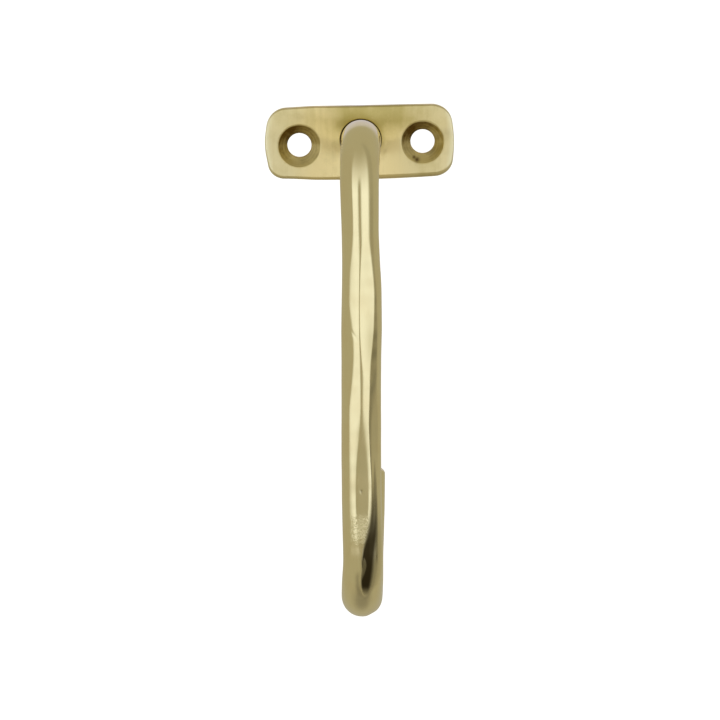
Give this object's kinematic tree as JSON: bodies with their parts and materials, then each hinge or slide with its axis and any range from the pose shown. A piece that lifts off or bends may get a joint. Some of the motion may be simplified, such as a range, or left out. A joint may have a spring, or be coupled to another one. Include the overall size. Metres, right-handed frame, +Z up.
{
  "type": "hook-shaped sash lift handle",
  "caption": "Hand-forged brass pull and hook: a round bar leaves a small screw-on wall plate, drops in front of it and turns back up behind itself.",
  "frame": {"origin": "on the wall plane, which is the back face of the plate, midway between the two wall screw holes", "axes": "+Z up, +Y into the wall, +X to the right of someone facing the wall, so that the handle stands out towards -Y and hangs down along -Z"},
  "size_m": [0.0388, 0.042, 0.1024],
  "materials": {
    "plate_brass": "satin, brushed across its height, unlacquered",
    "forged_brass": "hand forged, satin polished, with shallow hammer flats and a dark lap",
    "zinc_plated_steel": "zinc plated",
    "spring_steel": "zinc plated spring steel"
  },
  "bodies": {
    "root": {"back_plate": "plate_brass", "hook_rod": "forged_brass", "fixing_screw": "zinc_plated_steel", "lock_washer": "spring_steel"}
  },
  "joints": []
}
